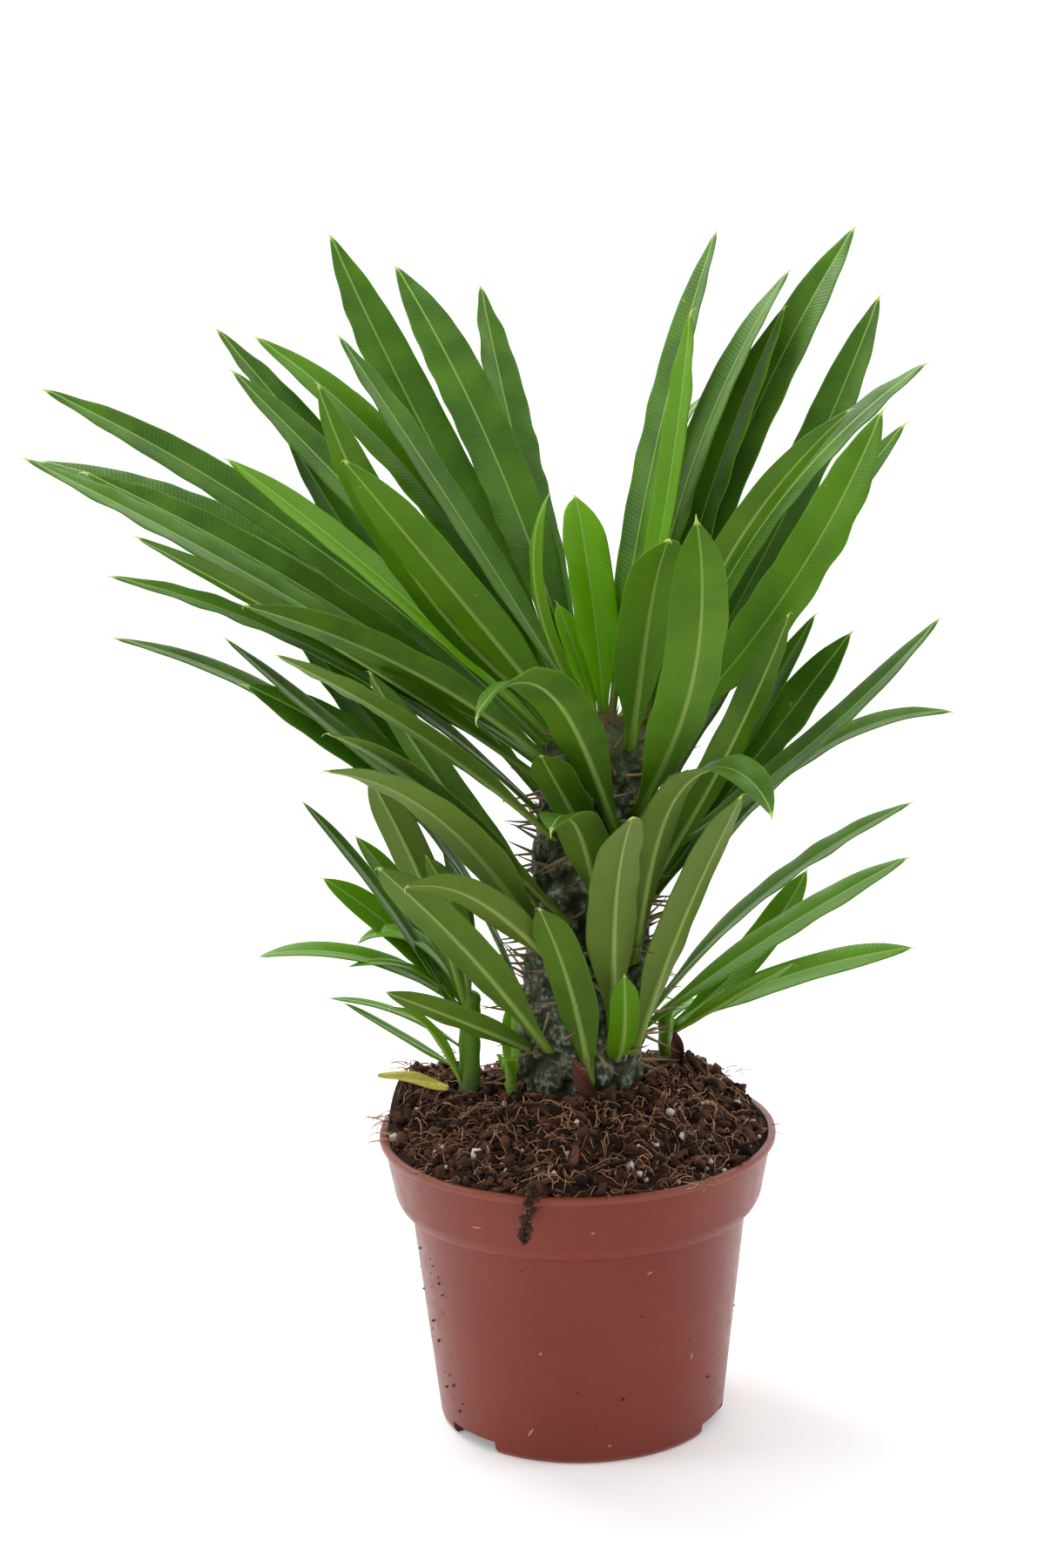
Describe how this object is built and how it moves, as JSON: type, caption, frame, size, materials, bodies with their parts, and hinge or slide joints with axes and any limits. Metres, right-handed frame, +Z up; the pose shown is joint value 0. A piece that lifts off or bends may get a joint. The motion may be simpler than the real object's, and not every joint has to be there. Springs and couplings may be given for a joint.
{
  "type": "potted madagascar palm",
  "caption": "Young Madagascar palm with a spiny trunk, long lance leaves and side shoots, in a round terracotta-coloured plastic nursery pot filled with soil.",
  "frame": {"origin": "middle of the pot's foot, on the plane it stands on", "axes": "+Z up along the pot's axis, -Y the front, +X to the right of the front"},
  "size_m": [0.2719, 0.1877, 0.3516],
  "materials": {
    "pot_plastic": "satin",
    "soil": "matte",
    "bark": "satin",
    "leaf": "satin",
    "shoot": "satin",
    "dry_leaf": "matte"
  },
  "bodies": {
    "root": {"pot": "pot_plastic", "soil": "soil", "main_stem": "bark", "pup_left": "shoot", "pup_right": "shoot", "pup_small": "shoot", "fallen_leaf": "dry_leaf", "leaf_01": "leaf", "leaf_02": "leaf", "leaf_03": "leaf", "leaf_04": "leaf", "leaf_05": "leaf", "leaf_06": "leaf", "leaf_07": "leaf", "leaf_08": "leaf", "leaf_09": "leaf", "leaf_10": "leaf", "leaf_11": "leaf", "leaf_12": "leaf", "leaf_13": "leaf", "leaf_14": "leaf", "leaf_15": "leaf", "leaf_16": "leaf", "leaf_17": "leaf", "leaf_18": "leaf", "leaf_19": "leaf", "leaf_20": "leaf", "leaf_21": "leaf", "leaf_22": "leaf", "leaf_23": "leaf", "leaf_24": "leaf", "leaf_25": "leaf", "leaf_26": "leaf", "leaf_27": "leaf", "leaf_28": "leaf", "leaf_29": "leaf", "leaf_30": "leaf", "leaf_31": "leaf", "leaf_32": "leaf", "leaf_33": "leaf", "leaf_34": "leaf", "leaf_35": "leaf", "leaf_36": "leaf", "leaf_37": "leaf", "leaf_38": "leaf", "leaf_39": "leaf", "leaf_40": "leaf", "leaf_41": "leaf", "leaf_42": "leaf", "leaf_43": "leaf", "leaf_44": "leaf", "leaf_45": "leaf", "leaf_46": "leaf", "leaf_47": "leaf", "leaf_48": "leaf", "leaf_49": "leaf", "leaf_50": "leaf", "leaf_51": "leaf", "leaf_52": "leaf", "leaf_53": "leaf"}
  },
  "joints": []
}
